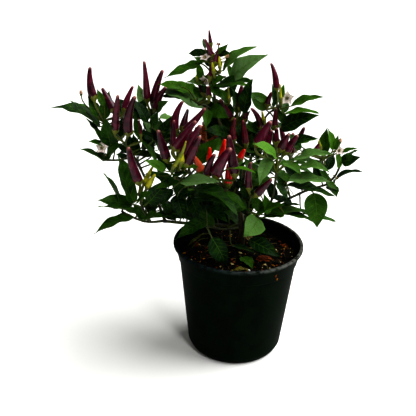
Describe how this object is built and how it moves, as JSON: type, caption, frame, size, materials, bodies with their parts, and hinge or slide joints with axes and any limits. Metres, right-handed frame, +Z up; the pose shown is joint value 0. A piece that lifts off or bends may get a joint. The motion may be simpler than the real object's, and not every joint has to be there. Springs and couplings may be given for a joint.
{
  "type": "potted chilli pepper plant",
  "caption": "Bushy ornamental chilli pepper plant with upright pointed purple and red fruits, lance-shaped leaves and small white flowers, rooted in a round tapered nursery pot.",
  "frame": {"origin": "centre of the pot's flat underside", "axes": "+Z up the pot's axis, -Y towards the plant's front, +X to its right as seen from the front"},
  "size_m": [0.3626, 0.2284, 0.3961],
  "materials": {
    "pot_plastic": "satin",
    "potting_mix": "matte",
    "stem_wood": "satin",
    "leaf_green": "satin",
    "purple_fruit_skin": "gloss",
    "red_fruit_skin": "gloss",
    "maroon_fruit_skin": "gloss",
    "young_fruit_skin": "gloss",
    "petal": "matte",
    "bud": "matte",
    "bark": "matte",
    "dry_leaf": "matte"
  },
  "bodies": {
    "root": {"back_left_purple_fruits": "purple_fruit_skin", "back_left_twig": "leaf_green", "back_low_left_twig": "leaf_green", "back_middle_twig": "leaf_green", "back_right_purple_fruits": "purple_fruit_skin", "back_right_twig": "leaf_green", "centre_front_purple_fruits": "purple_fruit_skin", "centre_front_red_fruits": "red_fruit_skin", "centre_front_twig": "leaf_green", "centre_high_maroon_fruits": "maroon_fruit_skin", "centre_high_purple_fruits": "purple_fruit_skin", "centre_high_twig": "leaf_green", "fallen_dry_leaf": "dry_leaf", "fallen_green_leaf": "leaf_green", "far_right_bud": "bud", "far_right_flower": "petal", "far_right_purple_fruits": "purple_fruit_skin", "far_right_twig": "leaf_green", "front_bark_chip": "bark", "front_left_purple_fruits": "purple_fruit_skin", "front_left_twig": "leaf_green", "front_low_twig": "leaf_green", "front_right_purple_fruits": "purple_fruit_skin", "front_right_twig": "leaf_green", "left_back_purple_fruits": "purple_fruit_skin", "left_back_twig": "leaf_green", "left_bark_chip": "bark", "left_bud": "bud", "left_flower": "petal", "left_inner_purple_fruits": "purple_fruit_skin", "left_low_purple_fruits": "purple_fruit_skin", "left_low_twig": "leaf_green", "left_low_young_fruits": "young_fruit_skin", "left_tip_purple_fruits": "purple_fruit_skin", "left_tip_twig": "leaf_green", "main_stem": "stem_wood", "mid_left_high_purple_fruits": "purple_fruit_skin", "mid_left_high_twig": "leaf_green", "mid_left_purple_fruits": "purple_fruit_skin", "mid_left_twig": "leaf_green", "mid_left_young_fruits": "young_fruit_skin", "pot": "pot_plastic", "potting_mix": "potting_mix", "right_bark_chip": "bark", "right_flower": "petal", "right_high_purple_fruits": "purple_fruit_skin", "right_high_twig": "leaf_green", "right_inner_purple_fruits": "purple_fruit_skin", "right_low_twig": "leaf_green", "right_mid_purple_fruits": "purple_fruit_skin", "right_mid_twig": "leaf_green", "top_bud": "bud", "top_flower": "petal", "top_purple_fruits": "purple_fruit_skin", "top_side_flower": "petal", "top_twig": "leaf_green", "top_young_fruits": "young_fruit_skin", "upper_left_purple_fruits": "purple_fruit_skin", "upper_left_twig": "leaf_green"}
  },
  "joints": []
}
